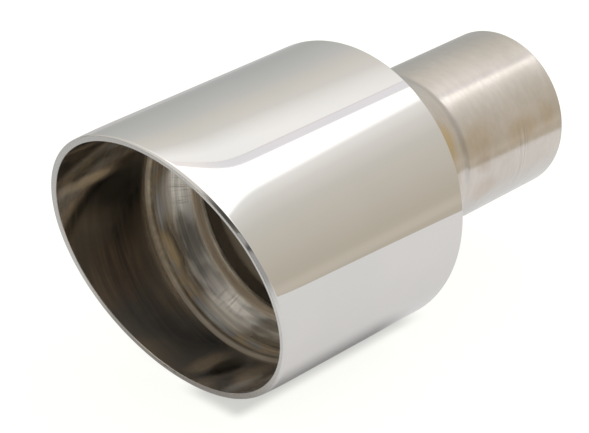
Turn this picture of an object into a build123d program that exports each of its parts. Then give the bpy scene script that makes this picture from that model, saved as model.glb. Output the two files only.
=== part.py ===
from build123d import *
import math
import os

# Slash-cut exhaust tip: a thick polished shell, and a spun reducer welded inside it
# that narrows to the sleeve which slips over the car's tailpipe.
# The axis runs along Y. The origin is the centre of the sleeve's open end, the outlet
# faces -Y and the long side of the slash is on top, +Z. All sizes are in millimetres.

# Outer shell
shell_diameter = 114.3
shell_wall = 3.0
shell_mean_length = 103.5
slash_angle = 18.0
rim_outer_break = 0.6
rim_inner_break = 0.3
rear_edge_break = 0.4

# Tailpipe that the sleeve slips over, and the reducer's sheet
tailpipe_diameter = 63.5
tailpipe_clearance = 0.15
sheet = 1.2

# Reducer, from the sleeve's open end towards the outlet
shell_setback = 97.5
sleeve_length = 62.5
cone_length = 70.5
neck_length = 4.0
shoulder_length = 7.5
shoulder_depth = 8.45
skirt_length = 7.5
neck_round = 1.0
shoulder_round = 10.0

# Weld bead round the reducer's front edge
bead_run = 1.9
bead_lap = 1.1
bead_crest_run = 0.4
bead_height = 0.5

# Worked out from the sizes above
shell_radius = shell_diameter / 2
shell_bore = shell_radius - shell_wall
sleeve_bore = tailpipe_diameter / 2 + tailpipe_clearance
skirt_bore = shell_bore - sheet
neck_bore = skirt_bore - shoulder_depth

shell_rear_y = -shell_setback
rim_middle_y = shell_rear_y - shell_mean_length
crease_y = -sleeve_length
neck_rear_y = crease_y - cone_length
neck_front_y = neck_rear_y - neck_length
skirt_rear_y = neck_front_y - shoulder_length
skirt_front_y = skirt_rear_y - skirt_length


def turned(outline):
    """Turn a closed outline, drawn as (radius, y), once round the Y axis."""
    return revolve(make_face(outline), Axis.Y)


def make_outer_shell():
    slash_rise = shell_radius * math.tan(math.radians(slash_angle))
    rim_front_y = rim_middle_y - slash_rise
    blank = Polyline(
        (shell_bore, shell_rear_y),
        (shell_radius, shell_rear_y),
        (shell_radius, rim_front_y),
        (shell_bore, rim_front_y),
        close=True,
    )
    tube = turned(blank)
    rear_edges = tube.edges().filter_by(GeomType.CIRCLE).group_by(Axis.Y)[-1]
    tube = chamfer(rear_edges, rear_edge_break)

    rim_plane = Plane(
        origin=(0, rim_middle_y, 0),
        x_dir=(1, 0, 0),
        z_dir=(0, -math.cos(math.radians(slash_angle)), -math.sin(math.radians(slash_angle))),
    )
    tube = split(tube, bisect_by=rim_plane, keep=Keep.BOTTOM)

    rim_face = tube.faces().filter_by(GeomType.PLANE).sort_by(Axis.Y)[0]
    outer_rim_edge = rim_face.edges().sort_by(SortBy.LENGTH)[-1]
    tube = chamfer(outer_rim_edge, rim_outer_break)
    rim_face = tube.faces().filter_by(GeomType.PLANE).sort_by(Axis.Y)[0]
    inner_rim_edge = rim_face.edges().sort_by(SortBy.LENGTH)[0]
    return chamfer(inner_rim_edge, rim_inner_break)


def make_reducer():
    inside = FilletPolyline(
        (sleeve_bore, 0),
        (sleeve_bore, crease_y),
        (neck_bore, neck_rear_y),
        (neck_bore, neck_front_y),
        (skirt_bore, skirt_rear_y),
        (skirt_bore, skirt_front_y),
        radius=[0, 0, neck_round, shoulder_round],
    )
    wall = offset(inside, amount=sheet, side=Side.LEFT)
    return turned(wall)


def make_weld_bead():
    outline = Polyline(
        (shell_bore, skirt_front_y - bead_run),
        (skirt_bore - bead_height, skirt_front_y - bead_crest_run),
        (skirt_bore, skirt_front_y + bead_lap),
        (skirt_bore, skirt_front_y),
        (shell_bore, skirt_front_y),
        close=True,
    )
    return turned(outline)


pieces = {
    "outer_shell": make_outer_shell(),
    "reducer": make_reducer(),
    "weld_bead": make_weld_bead(),
}

os.makedirs("parts", exist_ok=True)
for name, piece in pieces.items():
    export_step(piece, f"parts/{name}.step")
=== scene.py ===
import math

import bmesh
import bpy
from mathutils import Matrix, Vector


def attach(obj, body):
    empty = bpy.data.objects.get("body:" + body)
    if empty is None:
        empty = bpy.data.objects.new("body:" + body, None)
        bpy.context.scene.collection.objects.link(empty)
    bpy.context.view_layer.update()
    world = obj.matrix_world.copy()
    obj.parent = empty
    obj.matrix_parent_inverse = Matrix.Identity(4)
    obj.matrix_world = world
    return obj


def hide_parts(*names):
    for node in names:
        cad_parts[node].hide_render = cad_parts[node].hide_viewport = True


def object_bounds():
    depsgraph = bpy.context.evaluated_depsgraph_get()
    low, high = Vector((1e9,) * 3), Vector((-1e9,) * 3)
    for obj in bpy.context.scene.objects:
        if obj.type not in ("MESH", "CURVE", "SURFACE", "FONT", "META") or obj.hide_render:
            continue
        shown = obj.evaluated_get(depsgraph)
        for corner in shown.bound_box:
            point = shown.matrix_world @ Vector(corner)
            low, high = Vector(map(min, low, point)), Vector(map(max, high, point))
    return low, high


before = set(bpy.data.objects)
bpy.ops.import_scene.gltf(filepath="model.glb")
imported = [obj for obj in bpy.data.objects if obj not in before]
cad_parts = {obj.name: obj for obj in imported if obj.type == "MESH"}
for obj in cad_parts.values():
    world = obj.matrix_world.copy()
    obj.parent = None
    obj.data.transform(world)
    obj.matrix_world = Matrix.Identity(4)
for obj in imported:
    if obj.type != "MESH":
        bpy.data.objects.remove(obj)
cad_low, cad_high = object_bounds()

# The camera stands where the photograph was taken from: in front of the outlet, to its
# right and above it, on a long lens. The long side of the rim is a few degrees off upright.
camera_place = (0.5951, -0.8964, 0.5293)
camera_azimuth = 37.75
camera_elevation = 28.77
camera_roll = 5.64
camera_data = bpy.data.cameras.new("camera")
camera_data.lens = 177.35
camera_data.sensor_width = 36.0
camera_data.clip_end = 50.0
camera = bpy.data.objects.new("camera", camera_data)
camera.matrix_world = (
    Matrix.Translation(camera_place)
    @ Matrix.Rotation(math.radians(camera_azimuth), 4, "Z")
    @ Matrix.Rotation(math.radians(90 - camera_elevation), 4, "X")
    @ Matrix.Rotation(math.radians(camera_roll), 4, "Z")
)
bpy.context.collection.objects.link(camera)
bpy.context.scene.camera = camera
bpy.context.scene.view_settings.view_transform = "Standard"

# The room is a pale tent that the steel reflects: tan near the table, white overhead, dim on
# the camera's side up to its soft ceiling, and dark where the camera stands. The camera
# itself sees plain white past the table.
background_white = (1, 1, 0.955, 1)
camera_direction = (0.5855, -0.7494, 0.309)
camera_dark = 0.09

# Each stop is a height and its colour. The tan is palest just past the table and turns to
# grey and then white. The ramps begin below the horizon, so their stops are moved up by the
# horizon's place on them.
horizon = 0.25
table_tan = (0.60, 0.55, 0.46)
pale_tan = (0.67, 0.61, 0.52)
tent_tan = (0.69, 0.65, 0.58)
tent_grey = (0.73, 0.71, 0.65)
roof_edge = (0.86, 0.84, 0.80)
roof_white = (1.17, 1.17, 1.15)
upper_room = [(0.60, *roof_edge), (0.70, *roof_white)]
low_room = [
    (-0.20, *table_tan), (-0.16, *pale_tan), (-0.12, *pale_tan), (-0.06, *table_tan),
    (0.0, *table_tan), (0.36, *tent_tan), (0.50, *tent_grey),
]
left_room = [
    (-0.08, 0.50, 0.51, 0.495), (0.0, 0.52, 0.53, 0.515), (0.22, 0.60, 0.61, 0.59),
    (0.36, 0.68, 0.675, 0.65), (0.50, 0.79, 0.77, 0.71), (0.58, 0.85, 0.83, 0.78),
]
camera_side = [
    (0.0, 0.72, 0.67, 0.59), (0.10, 0.74, 0.70, 0.63), (0.30, 0.78, 0.75, 0.69), (0.50, 0.88, 0.86, 0.81),
    (0.62, 0.96, 0.94, 0.91), (0.69, 1.05, 1.04, 1.02), (0.74, 1.20, 1.20, 1.20),
]


def add(tree, kind, inputs=None, **settings):
    """Add a node. Each input gets a value, or the output socket that feeds it."""
    node = tree.nodes.new(kind)
    for name, value in settings.items():
        setattr(node, name, value)
    for key, value in (inputs or {}).items():
        if isinstance(value, bpy.types.NodeSocket):
            tree.links.new(value, node.inputs[key])
        else:
            node.inputs[key].default_value = value
    return node


def maths(tree, operation, *values):
    """The result of one sum on numbers or sockets."""
    return add(tree, "ShaderNodeMath", dict(enumerate(values)), operation=operation).outputs[0]


def product(tree, *values):
    """Several numbers or sockets multiplied together."""
    result = values[0]
    for value in values[1:]:
        result = maths(tree, "MULTIPLY", result, value)
    return result


def fade(tree, value, start, end, low=0.0, high=1.0):
    """A smooth step from low, where the value is start, to high, where it is end."""
    inputs = {"Value": value, "From Min": start, "From Max": end, "To Min": low, "To Max": high}
    return add(tree, "ShaderNodeMapRange", inputs, interpolation_type="SMOOTHSTEP").outputs["Result"]


def band(tree, value, start, full_from, full_to, end):
    """One where the value is in the middle of a band, and smoothly down to zero at its two ends."""
    return product(tree, fade(tree, value, start, full_from), fade(tree, value, end, full_to))


def blend(tree, factor, first, second, how="MIX"):
    """Two colours mixed, or put together in another named way."""
    inputs = {"Factor": factor, "A": first, "B": second}
    return add(tree, "ShaderNodeMix", inputs, data_type="RGBA", blend_type=how).outputs["Result"]


def shaded(tree, colour, share):
    """The colour times a number that varies from place to place."""
    grey = add(tree, "ShaderNodeCombineXYZ", {0: share, 1: share, 2: share}).outputs[0]
    return blend(tree, 1.0, colour, grey, "MULTIPLY")


def ramp(tree, value, stops):
    """A colour that follows a value. Each stop is its place and then red, green and blue."""
    node = add(tree, "ShaderNodeValToRGB", {"Fac": value})
    elements = node.color_ramp.elements
    for stop in stops[2:]:
        elements.new(stop[0])
    for element, stop in zip(elements, stops):
        element.position = stop[0]
        element.color = (*stop[1:], 1)
    return node.outputs["Color"]


def shifted(stops, by):
    """The stops with each place moved along."""
    return [(stop[0] + by, *stop[1:]) for stop in stops]


def axes(tree, vector):
    """The three parts of a vector: across the tip, along it, and height."""
    return list(add(tree, "ShaderNodeSeparateXYZ", {0: vector}).outputs)


def mixed_shader(tree, share, first, second):
    """Two shaders mixed, with the given share of the second."""
    return add(tree, "ShaderNodeMixShader", {0: share, 1: first, 2: second}).outputs[0]


world = bpy.data.worlds.new("light tent")
bpy.context.scene.world = world
world.use_nodes = True
tree = world.node_tree
tree.nodes.clear()
direction = add(tree, "ShaderNodeTexCoord").outputs["Generated"]
across, along, height = axes(tree, direction)
ramp_place = maths(tree, "ADD", height, horizon)
right_side = ramp(tree, ramp_place, shifted(low_room + upper_room, horizon))
left_side = ramp(tree, ramp_place, shifted(left_room + upper_room, horizon))
behind_tip = blend(tree, fade(tree, across, -0.3, 0.3), left_side, right_side)
toward_camera = add(
    tree, "ShaderNodeVectorMath", {0: direction, 1: camera_direction}, operation="DOT_PRODUCT",
).outputs["Value"]
by_camera = ramp(tree, height, camera_side)
by_camera = shaded(tree, by_camera, fade(tree, toward_camera, 0.88, 0.97, 1.0, camera_dark))
room = blend(tree, fade(tree, along, -0.15, 0.35), by_camera, behind_tip)

# A long soft lamp in the tent's roof makes the white band along the shell. Its lower edge is
# soft, and a pale frame with a darker lip runs along its upper edge, which bends at one end.
lamp_white = (1.7, 1.7, 1.68, 1)
frame_pale = (1.0, 0.99, 1.03, 1)
frame_lip = (0.93, 0.90, 0.90, 1)
frame_bend = (1.12, 1.07, 1.05, 1)
lower_edge_start = 2.7636
lower_edge_slope = -3.4
bend_start = 0.688
bend_slope = 5.0
slant = maths(tree, "DIVIDE", across, maths(tree, "MAXIMUM", height, 0.05))
overhead = product(tree, fade(tree, along, 0.38, 0.46), fade(tree, height, 0.50, 0.60))
lower_edge = maths(tree, "MULTIPLY_ADD", along, lower_edge_slope, lower_edge_start)
below_edge = maths(tree, "SUBTRACT", slant, lower_edge)
bend = maths(tree, "MAXIMUM", maths(tree, "SUBTRACT", bend_start, along), 0.0)
slant = maths(tree, "MULTIPLY_ADD", bend, bend_slope, slant)
lit = product(tree, fade(tree, below_edge, 0.06, -0.06), fade(tree, slant, 0.024, 0.058), overhead)
framed = product(tree, band(tree, slant, -0.088, -0.080, 0.024, 0.058), overhead)
frame_colour = blend(tree, fade(tree, slant, -0.074, -0.060), frame_lip, frame_pale)
frame_colour = blend(tree, fade(tree, bend, 0.004, 0.045), frame_colour, frame_bend)
room = blend(tree, lit, room, lamp_white)
room = blend(tree, framed, room, frame_colour)
tent_light = add(tree, "ShaderNodeBackground", {"Color": room}).outputs[0]
plain_white = add(tree, "ShaderNodeBackground", {"Color": background_white}).outputs[0]
path = add(tree, "ShaderNodeLightPath").outputs
seen = mixed_shader(tree, path["Is Camera Ray"], tent_light, plain_white)
add(tree, "ShaderNodeOutputWorld", {"Surface": seen})

# The table is a pale board that the camera sees shade into the white behind it. In the steel it is
# dimmer, with painted shadow round the shell's foot and painted shade ahead of the rim for the camera's
# stand, and its back edge shows as the line where the room begins.
board_reach = 4.0
board_grey = (0.33, 0.33, 0.33, 1)
board_pale = (0.16, 0.16, 0.16, 1)
painted_stand_shade = (0.04, 0.04, 0.04, 1)
foot_middle_y = -0.1465
foot_half_length = 0.0385
foot_half_width = 0.030
rim_y = -0.20
stand_heading = (0.69, -0.72)
back_edge_y = 0.2285
back_edge_slopes = (0.55, -0.12)


def new_material(name):
    """An empty node material and its tree."""
    material = bpy.data.materials.new(name)
    material.use_nodes = True
    material.node_tree.nodes.clear()
    return material, material.node_tree


def object_place(tree):
    """The place on the surface, in metres, in the frame of the whole tip."""
    return add(tree, "ShaderNodeTexCoord").outputs["Object"]


def above_zero(tree, value):
    """The value, or zero where it is negative."""
    return maths(tree, "MAXIMUM", value, 0.0)


def glow_on(tree, glow_colour, strength, grey):
    """A diffuse grey with a plain glow of its own added to it."""
    glow = add(tree, "ShaderNodeEmission", {"Color": glow_colour, "Strength": strength}).outputs[0]
    dull = add(tree, "ShaderNodeBsdfDiffuse", {"Color": grey}).outputs[0]
    return add(tree, "ShaderNodeAddShader", {0: glow, 1: dull}).outputs[0]


mesh = bpy.data.meshes.new("floor")
shape = bmesh.new()
bmesh.ops.create_grid(shape, x_segments=1, y_segments=1, size=board_reach)
shape.to_mesh(mesh)
shape.free()
floor = bpy.data.objects.new("floor", mesh)
floor.location = (0, 0, cad_low.z)
bpy.context.collection.objects.link(floor)

floor_material, tree = new_material("pale board")
across, along = axes(tree, object_place(tree))[:2]
beside = maths(tree, "MAXIMUM", across, maths(tree, "MULTIPLY", across, -0.7))
beside = above_zero(tree, maths(tree, "SUBTRACT", beside, foot_half_width))
beyond = maths(tree, "ABSOLUTE", maths(tree, "SUBTRACT", along, foot_middle_y))
beyond = above_zero(tree, maths(tree, "SUBTRACT", beyond, foot_half_length))
clear = maths(tree, "SQRT", maths(tree, "MULTIPLY_ADD", beside, beside, product(tree, beyond, beyond)))
# The board's glow is dimmed as painted shadow round the shell's foot, and is darker to the left and in
# front.
shade = product(
    tree, fade(tree, clear, 0.002, 0.028, 0.16, 0.53),
    fade(tree, across, -0.17, 0.03, 0.45, 1.0), fade(tree, along, -0.33, -0.235, 0.15, 1.0),
)
board = glow_on(tree, (1, 0.995, 0.99, 1), shade, board_grey)

# Ahead of the rim the board is painted dark, as painted shade of the camera's stand.
past_rim = maths(tree, "SUBTRACT", along, rim_y)
ahead = product(tree, past_rim, stand_heading[1])
ahead = maths(tree, "MULTIPLY_ADD", across, stand_heading[0], ahead)
aside = product(tree, past_rim, stand_heading[0])
aside = maths(tree, "MULTIPLY_ADD", across, -stand_heading[1], aside)
aside = maths(tree, "DIVIDE", maths(tree, "ABSOLUTE", aside), maths(tree, "MAXIMUM", ahead, 0.1))
stand_shade = product(tree, fade(tree, aside, 0.14, 0.05), fade(tree, ahead, 0.40, 0.60))
stand_shade_board = add(tree, "ShaderNodeBsdfDiffuse", {"Color": painted_stand_shade}).outputs[0]
board = mixed_shader(tree, stand_shade, board, stand_shade_board)

# A painted contact shadow: the camera sees a thin grey halo under the shell's right edge.
painted_contact_shadow = product(
    tree, band(tree, across, -0.004, 0.010, 0.024, 0.031),
    band(tree, along, -0.190, -0.182, -0.090, -0.070),
)
bright = glow_on(tree, background_white, maths(tree, "MULTIPLY_ADD", painted_contact_shadow, -0.35, 0.92), board_pale)
path = add(tree, "ShaderNodeLightPath").outputs
seen = mixed_shader(tree, path["Is Camera Ray"], board, bright)
right_end, left_end = [maths(tree, "MULTIPLY_ADD", across, slope, along) for slope in back_edge_slopes]
past_edge = maths(tree, "GREATER_THAN", maths(tree, "MAXIMUM", right_end, left_end), back_edge_y)
hidden = product(tree, past_edge, path["Is Glossy Ray"])
gone = add(tree, "ShaderNodeBsdfTransparent").outputs[0]
add(tree, "ShaderNodeOutputMaterial", {"Surface": mixed_shader(tree, hidden, seen, gone)})
mesh.materials.append(floor_material)

# Two small soft lamps stand by the camera. One lights the outlet's shoulder. The other lifts
# the stained metal in the mouth, and is hidden from reflections.
lamp_target = Vector((0, -0.14, 0))
lamp_size = 0.28
for name, location, energy, reflected in (
    ("outlet lamp", (-0.22, -1.05, 0.86), 0.085, True),
    ("fill lamp", (0.62, -0.98, 0.22), 0.16, False),
):
    lamp_data = bpy.data.lights.new(name, "AREA")
    lamp_data.shape = "DISK"
    lamp_data.size = lamp_size
    lamp_data.energy = energy
    lamp = bpy.data.objects.new(name, lamp_data)
    lamp.location = location
    lamp.rotation_euler = (lamp_target - lamp.location).to_track_quat("-Z", "Y").to_euler()
    lamp.visible_glossy = reflected
    bpy.context.collection.objects.link(lamp)

# Outer shell: one heavy tube of stainless steel with a mirror polish outside. Its front is cut
# at a slant and ground flat by hand, with a rounded outer edge, and the inside is duller and
# stained by the exhaust. The weld bead inside holds it to the reducer. Sizes are in millimetres.
shell_radius = 57.15
shell_bore = 54.15
shell_rear_y = -97.5
rim_middle_y = -201.0
slash_slope = math.tan(math.radians(18.0))
rim_bevel = 1.3
bevel_round = 0.5
bevel_reach = rim_bevel + 0.3
bevel_narrowest = 0.15
bevel_widest_angle = math.radians(25)
roll_off_length = 20.0
roll_off_drop = 0.4
rim_inner_round = 0.3
rear_round = 0.4
rear_flat = 0.1
rim_flat = 0.02
square_rear = 0.7
slanted_front = 1.2
mm = 0.001
around = 192
arc_steps = 8


def rounded(points, radii):
    """The outline of (radius, y) points with each corner turned into an arc of its radius."""
    outline = [points[0]]
    for before, corner, after, radius in zip(points, points[1:], points[2:], radii):
        corner = Vector(corner)
        back = (Vector(before) - corner).normalized()
        on = (Vector(after) - corner).normalized()
        half = back.angle(on) / 2
        centre = corner + (back + on).normalized() * (radius / math.sin(half))
        first = corner + back * (radius / math.tan(half)) - centre
        last = corner + on * (radius / math.tan(half)) - centre
        for step in range(arc_steps + 1):
            spoke = first.lerp(last, step / arc_steps).normalized() * radius
            outline.append(tuple(centre + spoke))
    outline.append(points[-1])
    return outline


def divided(points, longest=6.0, support=0.2):
    """The outline with long runs divided, and a point close to each of their ends."""
    outline = [points[0]]
    for start, end in zip(points, points[1:]):
        start, end = Vector(start), Vector(end)
        length = (end - start).length
        if length > 5 * support:
            pieces = max(1, math.ceil(length / longest))
            places = [support / length] + [n / pieces for n in range(1, pieces)] + [1 - support / length]
            outline += [tuple(start.lerp(end, place)) for place in places]
        outline.append(tuple(end))
    return outline


def spin_round(outline, material):
    """Turn an open outline of (radius, y) points, in millimetres, once round the Y axis."""
    shape = bmesh.new()
    points = [shape.verts.new((radius * mm, y * mm, 0)) for radius, y in outline]
    lines = [shape.edges.new(pair) for pair in zip(points, points[1:])]
    bmesh.ops.spin(
        shape, geom=points + lines, cent=(0, 0, 0), axis=(0, 1, 0),
        angle=math.tau, steps=around, use_merge=True,
    )
    for face in shape.faces:
        face.material_index = material
    return shape


def add_piece(name, shapes, slot, *materials):
    """Join the shapes into one closed object of the body. The slot is not used."""
    shape = bmesh.new()
    for part in shapes:
        loose = bpy.data.meshes.new("part")
        part.to_mesh(loose)
        part.free()
        shape.from_mesh(loose)
        bpy.data.meshes.remove(loose)
    bmesh.ops.remove_doubles(shape, verts=shape.verts, dist=1e-7)
    bmesh.ops.recalc_face_normals(shape, faces=shape.faces)
    mesh = bpy.data.meshes.new(name)
    shape.to_mesh(mesh)
    shape.free()
    for polygon in mesh.polygons:
        polygon.use_smooth = True
    for material in materials:
        mesh.materials.append(material)
    piece = bpy.data.objects.new(name, mesh)
    bpy.context.collection.objects.link(piece)
    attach(piece, "root")
    return piece


def vectors(tree, operation, *values):
    """The result of one sum on vectors."""
    return add(tree, "ShaderNodeVectorMath", dict(enumerate(values)), operation=operation).outputs[0]


def noise(tree, place, scales, detail=2.0, roughness=0.5):
    """Smooth noise around one half, with a scale of its own along each axis."""
    place = add(tree, "ShaderNodeMapping", {"Vector": place, "Scale": scales}).outputs[0]
    inputs = {"Vector": place, "Scale": 1.0, "Detail": detail, "Roughness": roughness}
    return add(tree, "ShaderNodeTexNoise", inputs).outputs["Fac"]


def new_group(name, inputs, outputs):
    """An empty shader node group: its tree, and the sockets inside it at each end."""
    tree = bpy.data.node_groups.new(name, "ShaderNodeTree")
    for title, kind in inputs:
        tree.interface.new_socket(title, in_out="INPUT", socket_type="NodeSocket" + kind)
    for title, kind in outputs:
        tree.interface.new_socket(title, in_out="OUTPUT", socket_type="NodeSocket" + kind)
    return tree, tree.nodes.new("NodeGroupInput").outputs, tree.nodes.new("NodeGroupOutput").inputs


# A patch is a soft spot with a wandering edge, given by its middle and its reach in metres.
patch, given, result = new_group(
    "patch",
    [("Place", "Vector"), ("Middle", "Vector"), ("Reach", "Vector"), ("Wander", "Float")],
    [("Mask", "Float")],
)
swirl = add(patch, "ShaderNodeTexNoise", {
    "Vector": given["Place"], "Scale": 110.0, "Detail": 3.0, "Roughness": 0.5,
}).outputs["Color"]
swirl = vectors(patch, "SUBTRACT", swirl, (0.5, 0.5, 0.5))
drift = add(
    patch, "ShaderNodeVectorMath", {0: swirl, "Scale": given["Wander"]}, operation="SCALE",
).outputs[0]
offset = vectors(patch, "SUBTRACT", vectors(patch, "ADD", given["Place"], drift), given["Middle"])
share = vectors(patch, "DIVIDE", offset, given["Reach"])
distance = add(patch, "ShaderNodeVectorMath", {0: share}, operation="LENGTH").outputs["Value"]
patch.links.new(fade(patch, distance, 1.0, 0.25), result["Mask"])

# Turning marks are fine rings round the axis that fade in and out on their way round.
turning, given, result = new_group(
    "turning marks", [("Place", "Vector")], [("Coarse", "Float"), ("Fine", "Float")],
)
turning.links.new(noise(turning, given["Place"], (14.0, 900.0, 14.0), 3.0, 0.6), result["Coarse"])
turning.links.new(noise(turning, given["Place"], (30.0, 4200.0, 30.0), 2.0, 0.6), result["Fine"])


def patch_mask(tree, place, middle, reach, wander=0.003):
    """The mask of one patch on the surface."""
    inputs = {"Place": place, "Middle": middle, "Reach": reach, "Wander": wander}
    return add(tree, "ShaderNodeGroup", inputs, node_tree=patch).outputs["Mask"]


def turning_marks(tree, place):
    """The coarse and the fine turning marks on the surface."""
    return list(add(tree, "ShaderNodeGroup", {"Place": place}, node_tree=turning).outputs)


def bump(tree, height, strength, distance):
    """The normal of a surface that the height raises by up to the distance, in metres."""
    inputs = {"Height": height, "Strength": strength, "Distance": distance}
    return add(tree, "ShaderNodeBump", inputs).outputs[0]


def close_material(tree, inputs):
    """Give the material its Principled shader with these inputs, and its output."""
    metal = add(tree, "ShaderNodeBsdfPrincipled", inputs).outputs[0]
    add(tree, "ShaderNodeOutputMaterial", {"Surface": metal})


polished, tree = new_material("polished steel")
pale_steel = (0.715, 0.705, 0.69, 1)
warm_steel = (0.735, 0.715, 0.70, 1)
place = object_place(tree)
coarse = turning_marks(tree, place)[0]
cloud = noise(tree, place, (22.0, 22.0, 22.0))
close_material(tree, {
    "Base Color": blend(tree, fade(tree, cloud, 0.35, 0.65), pale_steel, warm_steel),
    "Metallic": 1.0,
    "Roughness": fade(tree, coarse, 0.30, 0.75, 0.022, 0.048),
    "Normal": bump(tree, coarse, 0.04, 0.00002),
})

ground, tree = new_material("ground rim")
ground_steel = (0.69, 0.68, 0.655, 1)
ground_stained = (0.70, 0.655, 0.60, 1)
nick_brown = (0.28, 0.25, 0.21, 1)
nick_reach = (0.0013, 0.0013, 0.0008)
nick_places = ((-0.0113, -0.1836, -0.0536), (-0.0067, -0.1834, -0.0541))
place = object_place(tree)
height = axes(tree, place)[2]
scratches = noise(tree, place, (2600.0, 2600.0, 300.0), 2.0, 0.6)
colour = blend(tree, fade(tree, height, -0.020, -0.050), ground_steel, ground_stained)
for middle in nick_places:
    colour = blend(tree, patch_mask(tree, place, middle, nick_reach, 0.001), colour, nick_brown)
close_material(tree, {
    "Base Color": colour,
    "Metallic": 1.0,
    "Roughness": fade(tree, scratches, 0.3, 0.7, 0.22, 0.34),
    "Normal": bump(tree, scratches, 0.25, 0.00003),
})

# Inside, soot dulls the steel to grey and brown, and some stains are partly painted reflections of the
# room. A stain is its middle, its reach, its colour and how much it adds to the dull share, or takes from
# it.
inner_wall, tree = new_material("stained inner wall")
bare_grey = (0.50, 0.50, 0.49, 1)
bare_tan = (0.70, 0.62, 0.53, 1)
streak_grey = (0.37, 0.36, 0.35, 1)
brown_light = (0.78, 0.62, 0.48, 1)
brown_dark = (0.50, 0.43, 0.37, 1)
low_grey = (0.36, 0.36, 0.365, 1)
heat_brown = (0.62, 0.50, 0.36, 1)
painted_dark_wedge = (0.15, 0.145, 0.14, 1)
painted_gold_streak = (1.00, 0.82, 0.56, 1)
painted_tan_crescent = (0.60, 0.50, 0.38, 1)
painted_dark_crescent = (0.22, 0.22, 0.22, 1)
# The dark wedge and gold streak on the left side, and the tan and dark crescents at the bottom, are
# partly stains and partly painted reflections of the room.
stains_and_reflections = (
    ((-0.0535, -0.1720, 0.0020), (0.0160, 0.0225, 0.0165), painted_dark_wedge, -0.20),
    ((-0.0530, -0.1850, 0.0105), (0.0090, 0.0200, 0.0045), painted_gold_streak, 0.36),
    ((-0.0020, -0.1700, -0.0540), (0.0060, 0.0170, 0.0060), painted_tan_crescent, 0.18),
    ((0.0170, -0.1665, -0.0514), (0.0080, 0.0150, 0.0070), painted_tan_crescent, 0.22),
    ((0.0048, -0.1670, -0.0540), (0.0062, 0.0100, 0.0060), painted_dark_crescent, -0.32),
)
place = object_place(tree)
along, height = axes(tree, place)[1:]
coarse = turning_marks(tree, place)[0]
cloud = noise(tree, place, (60.0, 30.0, 60.0), 3.0, 0.6)
streak = noise(tree, place, (25.0, 260.0, 25.0), 3.0, 0.6)
colour = blend(tree, fade(tree, cloud, 0.36, 0.62), bare_grey, bare_tan)
colour = blend(tree, fade(tree, streak, 0.38, 0.64, 0.0, 0.45), colour, streak_grey)
brown = patch_mask(tree, place, (-0.046, -0.176, -0.030), (0.020, 0.024, 0.022), 0.010)
brown_colour = blend(tree, fade(tree, streak, 0.35, 0.6), brown_light, brown_dark)
colour = blend(tree, brown, colour, brown_colour)
grey = patch_mask(tree, place, (0.002, -0.168, -0.054), (0.034, 0.022, 0.030), 0.006)
colour = blend(tree, grey, colour, low_grey)
heat = band(tree, along, -0.1580, -0.1535, -0.1500, -0.1440)
heat = product(tree, heat, fade(tree, height, -0.052, -0.040, 0.1, 1.0))
colour = blend(tree, heat, colour, heat_brown)
dull = maths(tree, "MULTIPLY_ADD", heat, 0.40, 0.012)
dull = maths(tree, "MULTIPLY_ADD", brown, 0.03, dull)
dull = maths(tree, "ADD", dull, fade(tree, height, -0.018, -0.045, 0.0, 0.10))
for middle, reach, tint, added in stains_and_reflections:
    stain = patch_mask(tree, place, middle, reach)
    colour = blend(tree, stain, colour, tint)
    dull = maths(tree, "MAXIMUM", maths(tree, "MULTIPLY_ADD", stain, added, dull), 0.01)
close_material(tree, {
    "Base Color": colour,
    "Metallic": maths(tree, "SUBTRACT", 1.0, dull),
    "Roughness": maths(tree, "MULTIPLY_ADD", heat, 0.2, fade(tree, coarse, 0.3, 0.75, 0.09, 0.15)),
})

half_wall = (shell_radius + shell_bore) / 2
outer_corners = [
    (half_wall, shell_rear_y), (shell_radius, shell_rear_y),
    (shell_radius, rim_middle_y + rim_bevel), (shell_radius - rim_bevel, rim_middle_y),
    (half_wall - bevel_round, rim_middle_y),
]
inner_corners = [
    (half_wall, shell_rear_y), (shell_bore, shell_rear_y),
    (shell_bore, rim_middle_y), (half_wall, rim_middle_y),
]
outer_run = rounded(outer_corners, (rear_round, bevel_round, bevel_round))
inner_run = rounded(inner_corners, (rear_round, rim_inner_round))
roll_start_y = rim_middle_y + roll_off_length
roll_index = arc_steps + 2
outer_run.insert(roll_index, (shell_radius, roll_start_y))
outer_line = divided(outer_run[:roll_index + 1]) + divided(outer_run[roll_index:-1], 2.0)[1:]
outside = spin_round(outer_line, 0)
rim_face = spin_round(divided([outer_run[-2], inner_run[-2]], 5.0), 1)
bore = spin_round(divided(inner_run[:-1]), 2)

# The rear edge and what lies flat in the rim's plane are ground. The polished bevel is widest
# at one side, and the shell rolls in a little towards the rim.
for face in outside.faces[:] + bore.faces[:]:
    if min(point.co.y for point in face.verts) > (shell_rear_y - rear_flat) * mm:
        face.material_index = 1
for point in outside.verts:
    radius = math.hypot(point.co.x, point.co.z) / mm
    if radius < half_wall:
        continue
    if point.co.y / mm < rim_middle_y + bevel_reach:
        angle = math.atan2(point.co.z, point.co.x) - bevel_widest_angle
        width = bevel_narrowest + (1 - bevel_narrowest) * max(0.0, math.cos(angle))
        narrowed = shell_radius + (radius - shell_radius) * width
        point.co.xz = point.co.xz * (narrowed / radius)
        point.co.y = (rim_middle_y + (point.co.y / mm - rim_middle_y) * width) * mm
        radius = narrowed
    share = max(0.0, (roll_start_y - point.co.y / mm) / roll_off_length)
    point.co.xz = point.co.xz * (1 - roll_off_drop * share ** 3 / radius)
for face in outside.faces:
    if max(point.co.y for point in face.verts) < (rim_middle_y + rim_flat) * mm:
        face.material_index = 1

# The slant of the rim dies out along the tube, so that the rear edge stays square.
slant_from = shell_rear_y - square_rear
slant_to = rim_middle_y + slanted_front
shell_parts = [outside, rim_face, bore]
for part in shell_parts:
    for point in part.verts:
        share = (slant_from - point.co.y / mm) / (slant_from - slant_to)
        point.co.y -= point.co.z * slash_slope * min(1.0, max(0.0, share))
shell = add_piece("outer_shell_polished", shell_parts, "polished_shell", polished, ground, inner_wall)
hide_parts("outer_shell")

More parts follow.
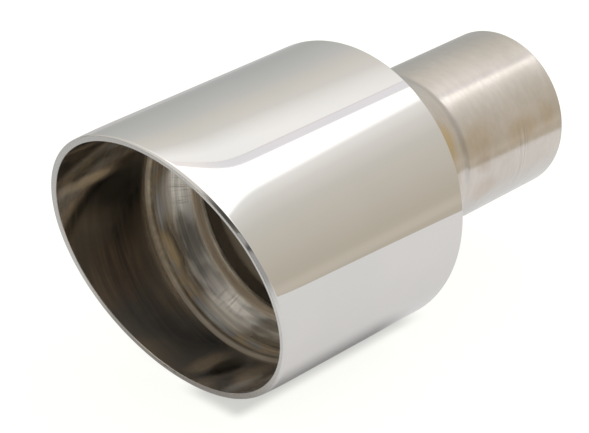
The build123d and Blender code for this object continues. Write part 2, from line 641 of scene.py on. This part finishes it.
# Reducer: one spun stainless sheet. From the back it is a plain sleeve that slips over the
# tailpipe, a long cone, a short neck, a rounded shoulder and a skirt inside the shell. Heat
# has tinted it gold, brown and blue.
sheet = 1.2
sleeve_bore = 31.9
neck_bore = 44.5
skirt_bore = shell_bore - sheet
crease_y = -62.5
neck_rear_y = -133.0
neck_front_y = -137.0
skirt_rear_y = -144.5
skirt_front_y = -152.0
inside_rounds = (9.2, 2.2, 2.2, 10.5)
outside_rounds = (8.0, 3.4, 1.0, 11.7)
inside_corners = [
    (sleeve_bore, 0.0), (sleeve_bore, crease_y), (neck_bore, neck_rear_y),
    (neck_bore, neck_front_y), (skirt_bore, skirt_rear_y), (skirt_bore, skirt_front_y),
]


def moved_out(points, distance):
    """The outline moved sideways, away from the axis, by the sheet's thickness."""
    sides = []
    for start, end in zip(points, points[1:]):
        run = (Vector(end) - Vector(start)).normalized()
        sides.append(Vector((-run.y, run.x)))
    outline = [tuple(Vector(points[0]) + sides[0] * distance)]
    for corner, before, after in zip(points[1:], sides, sides[1:]):
        middle = (before + after).normalized()
        outline.append(tuple(Vector(corner) + middle * (distance / middle.dot(before))))
    outline.append(tuple(Vector(points[-1]) + sides[-1] * distance))
    return outline


def tinted(tree, mask, colour, tint):
    """The colour times a tint where the mask is one."""
    return blend(tree, mask, colour, blend(tree, 1.0, colour, tint, "MULTIPLY"))


def at_least(tree, value, mask, share):
    """The value, or this share of the mask where that is more."""
    return maths(tree, "MAXIMUM", value, maths(tree, "MULTIPLY", mask, share))


# Outside, the sheet is satin with a warm mottle, a painted cool shade along the crease where the cone
# starts, rubbed rings on the sleeve and faint spots. A spot is its middle, its reach and its tint.
outside_metal, tree = new_material("satin sheet outside")
satin_warm = (0.625, 0.58, 0.53, 1)
satin_pale = (0.675, 0.625, 0.58, 1)
satin_below = (0.625, 0.61, 0.59, 1)
painted_crease_shade = (0.80, 0.815, 0.845, 1)
rub_light = (0.74, 0.72, 0.70, 1)
rub_dark = (0.50, 0.45, 0.41, 1)
sleeve_spots = (
    ((0.0308, -0.0255, 0.0121), (0.0120, 0.0140, 0.0075), (0.93, 0.88, 0.79, 1)),
    ((0.0293, -0.0539, 0.0153), (0.0100, 0.0150, 0.0100), (0.92, 0.87, 0.78, 1)),
    ((0.0305, -0.0090, 0.0128), (0.0080, 0.0070, 0.0080), (0.94, 0.90, 0.81, 1)),
    ((0.0290, -0.0740, 0.0205), (0.0130, 0.0080, 0.0130), (1.00, 0.87, 0.60, 1)),
    ((0.0345, -0.0740, 0.0050), (0.0080, 0.0075, 0.0070), (0.84, 0.76, 0.66, 1)),
    ((0.0320, -0.0500, -0.0070), (0.0100, 0.0110, 0.0085), (0.92, 0.87, 0.83, 1)),
    ((0.0326, -0.0520, 0.0050), (0.0060, 0.0080, 0.0060), (0.90, 0.86, 0.83, 1)),
    ((0.0165, -0.0014, 0.0287), (0.0014, 0.0009, 0.0014), (0.35, 0.32, 0.30, 1)),
)
place = object_place(tree)
along, height = axes(tree, place)[1:]
coarse, fine = turning_marks(tree, place)
cloud = noise(tree, place, (45.0, 45.0, 45.0), 3.0)
colour = blend(tree, fade(tree, cloud, 0.35, 0.65), satin_warm, satin_pale)
colour = blend(tree, fade(tree, height, -0.004, -0.018), colour, satin_below)
mottle = noise(tree, place, (200.0, 420.0, 200.0), 4.0, 0.6)
colour = shaded(tree, colour, fade(tree, mottle, 0.35, 0.65, 0.975, 1.02))
# Painted shade: a bluish darkening along the crease where the cone starts.
crease_shade = product(
    tree, band(tree, along, -0.0662, -0.0636, -0.0624, -0.0602),
    fade(tree, height, 0.031, 0.022, 0.35, 1.0), fade(tree, height, -0.003, 0.008),
)
colour = tinted(tree, crease_shade, colour, painted_crease_shade)
for middle, reach, tint in sleeve_spots:
    colour = tinted(tree, patch_mask(tree, place, middle, reach, 0.006), colour, tint)
rubbed = patch_mask(tree, place, (0.0325, -0.0265, 0.0), (0.010, 0.0065, 0.018))
rings = noise(tree, place, (30.0, 1300.0, 30.0), 2.0, 0.6)
colour = blend(tree, product(tree, rubbed, fade(tree, rings, 0.52, 0.62, 0.0, 0.6)), colour, rub_light)
colour = blend(tree, product(tree, rubbed, fade(tree, rings, 0.48, 0.38, 0.0, 0.7)), colour, rub_dark)
close_material(tree, {
    "Base Color": colour,
    "Metallic": 1.0,
    "Roughness": maths(tree, "MULTIPLY_ADD", fine, 0.10, fade(tree, coarse, 0.3, 0.75, 0.09, 0.15)),
    "Normal": bump(tree, fine, 0.10, 0.00003),
})

# Inside, heat and oxide have dulled the sheet. From the back there is a dull ring deep in the cone, a
# gold land at the neck, the shoulder with its painted shade and painted highlights, and a straw coloured
# skirt with a blue line. A place is its middle, its reach and its colour.
inside_metal, tree = new_material("satin sheet inside")
cone_grey = (0.50, 0.47, 0.425, 1)
mouth_grey = (0.66, 0.62, 0.55, 1)
deep_tan = (0.68, 0.61, 0.50, 1)
land_gold = (0.98, 0.84, 0.66, 1)
straw_gold = (0.93, 0.76, 0.53, 1)
line_blue = (0.66, 0.68, 0.70, 1)
gold_tint_and_highlight = (1.0, 0.80, 0.50, 1)
painted_streak_shadow = (0.30, 0.27, 0.23, 1)
mark_black = (0.14, 0.12, 0.10, 1)
# Painted shade: two dim places on the shoulder.
painted_shade_places = (
    ((-0.0256, -0.1410, -0.0394), (0.016, 0.007, 0.013), (0.27, 0.25, 0.225, 1)),
    ((-0.0070, -0.1400, -0.0460), (0.022, 0.008, 0.010), (0.38, 0.355, 0.315, 1)),
)
# Painted highlights on the shoulder and at its round into the skirt.
painted_highlight_places = (
    ((-0.0165, -0.1450, -0.0490), (0.020, 0.0050, 0.010), (1.0, 0.95, 0.86, 1)),
    ((-0.0500, -0.1450, -0.0100), (0.008, 0.0036, 0.014), (1.0, 0.95, 0.86, 1)),
    ((-0.0509, -0.1480, -0.0146), (0.008, 0.0030, 0.014), (0.92, 0.90, 0.88, 1)),
    ((-0.0190, -0.1490, -0.0494), (0.015, 0.0026, 0.009), (0.92, 0.93, 0.92, 1)),
)
place = object_place(tree)
across, along, height = axes(tree, place)
coarse = turning_marks(tree, place)[0]
skirt = fade(tree, along, -0.1440, -0.1490)
mouth = fade(tree, along, -0.1310, -0.1345)
neck_land = band(tree, along, -0.1385, -0.1365, -0.1340, -0.1325)
deep = band(tree, along, -0.1275, -0.1245, -0.115, -0.095)
oxide = at_least(tree, skirt, neck_land, 1.5)
oxide = at_least(tree, oxide, mouth, 0.06)
oxide = at_least(tree, oxide, deep, 0.9)
colour = blend(tree, mouth, cone_grey, mouth_grey)
for middle, reach, tint in painted_shade_places:
    colour = blend(tree, patch_mask(tree, place, middle, reach, 0.004), colour, tint)
colour = blend(tree, deep, colour, deep_tan)
colour = blend(tree, neck_land, colour, land_gold)
cloud = noise(tree, place, (70.0, 160.0, 70.0), 3.0, 0.6)
straw = product(tree, skirt, fade(tree, cloud, 0.36, 0.60, 0.35, 1.0))
colour = blend(tree, straw, colour, straw_gold)
blue = band(tree, along, -0.1510, -0.1500, -0.1480, -0.1465)
blue = product(tree, blue, fade(tree, cloud, 0.56, 0.40))
colour = blend(tree, blue, colour, line_blue)
# A gold heat tint brightened as a painted highlight, which also raises a shallow swell in the relief.
gold_and_highlight = patch_mask(tree, place, (-0.0425, -0.1477, -0.0310), (0.013, 0.0036, 0.012))
colour = blend(tree, gold_and_highlight, colour, gold_tint_and_highlight)
oxide = at_least(tree, oxide, gold_and_highlight, 1.4)
# Lay on the painted highlights, each also made duller.
for middle, reach, tint in painted_highlight_places:
    bright = patch_mask(tree, place, middle, reach)
    colour = blend(tree, bright, colour, tint)
    oxide = at_least(tree, oxide, bright, 1.5)
# A painted shadow: a dark streak along the shoulder beside the gold patch.
streak_shadow = patch_mask(tree, place, (-0.0415, -0.1436, -0.0290), (0.011, 0.0019, 0.015), 0.002)
colour = blend(tree, streak_shadow, colour, painted_streak_shadow)
colour = blend(tree, mouth, colour, shaded(tree, colour, fade(tree, coarse, 0.34, 0.64, 0.72, 1.06)))

# Where the shoulder was stretched, short dark marks run along it in two places.
turned = maths(tree, "ARCTAN2", height, across)
mark_place = add(tree, "ShaderNodeCombineXYZ", {0: turned, 1: along}).outputs[0]
marks = fade(tree, noise(tree, mark_place, (75.0, 60.0, 1.0), 3.0, 0.7), 0.52, 0.62)
upper = patch_mask(tree, place, (-0.0463, -0.1408, -0.0082), (0.008, 0.0055, 0.011), 0.002)
lower = patch_mask(tree, place, (-0.0170, -0.1408, -0.0440), (0.011, 0.0050, 0.007), 0.002)
marks = product(tree, marks, maths(tree, "MAXIMUM", upper, lower), 0.55)
colour = blend(tree, marks, colour, mark_black)
swell = product(tree, mouth, noise(tree, place, (40.0, 120.0, 40.0)))
relief = add(tree, "ShaderNodeBump", {
    "Height": gold_and_highlight, "Strength": 1.0, "Distance": 0.0006, "Normal": bump(tree, swell, 1.0, 0.0012),
}).outputs[0]
close_material(tree, {
    "Base Color": colour,
    "Metallic": maths(tree, "MULTIPLY_ADD", oxide, -0.55, 0.97),
    "Roughness": maths(tree, "MULTIPLY_ADD", oxide, 0.14, 0.24),
    "Normal": relief,
})

inside = divided(rounded(inside_corners, inside_rounds))
outside = divided(rounded(moved_out(inside_corners, sheet), outside_rounds))
reducer_parts = [
    spin_round(inside, 1), spin_round(outside, 0),
    spin_round([inside[0], outside[0]], 0), spin_round([inside[-1], outside[-1]], 1),
]
reducer = add_piece("reducer_sheet", reducer_parts, "satin_sheet", outside_metal, inside_metal)
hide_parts("reducer")

# Weld bead: a low bead of melted steel with a fine ripple and a round crest. It runs along the
# skirt's front edge and holds the reducer in the shell, and heat has tinted it gold.
bead_run = 1.9
bead_lap = 1.1
bead_crest_run = 0.5
bead_height = 0.6
bead_round = 1.2

bead_metal, tree = new_material("weld bead")
front_brown = (0.46, 0.39, 0.29, 1)
crest_gold = (0.80, 0.69, 0.52, 1)
back_gold = (1.0, 0.90, 0.70, 1)
cloud_brown = (0.42, 0.35, 0.25, 1)
lower_dark = (0.20, 0.17, 0.14, 1)
ripple_dark = (0.30, 0.25, 0.20, 1)
place = object_place(tree)
along, height = axes(tree, place)[1:]
ripple = noise(tree, place, (420.0, 420.0, 420.0))
cloud = noise(tree, place, (70.0, 70.0, 70.0), 1.0)
colour = blend(tree, fade(tree, along, -0.1538, -0.1526), front_brown, crest_gold)
colour = blend(tree, fade(tree, along, -0.1521, -0.1514), colour, back_gold)
colour = blend(tree, fade(tree, cloud, 0.42, 0.58, 0.0, 0.7), colour, cloud_brown)
colour = blend(tree, fade(tree, height, -0.030, -0.050, 0.0, 0.7), colour, lower_dark)
close_material(tree, {
    "Base Color": blend(tree, fade(tree, ripple, 0.35, 0.65, 0.0, 0.35), colour, ripple_dark),
    "Metallic": 0.4,
    "Roughness": 0.45,
    "Normal": bump(tree, ripple, 0.3, 0.0002),
})

bead_start = (shell_bore, skirt_front_y - bead_run)
bead_crest = (skirt_bore - bead_height, skirt_front_y - bead_crest_run)
bead_top = rounded([bead_start, bead_crest, (skirt_bore, skirt_front_y + bead_lap)], (bead_round,))
bead_line = bead_top + [(skirt_bore, skirt_front_y), (shell_bore, skirt_front_y), bead_start]
bead_ring = spin_round(divided(bead_line, 1.0, 0.05), 0)
bead = add_piece("weld_bead_ring", [bead_ring], "weld_metal", bead_metal)
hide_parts("weld_bead")
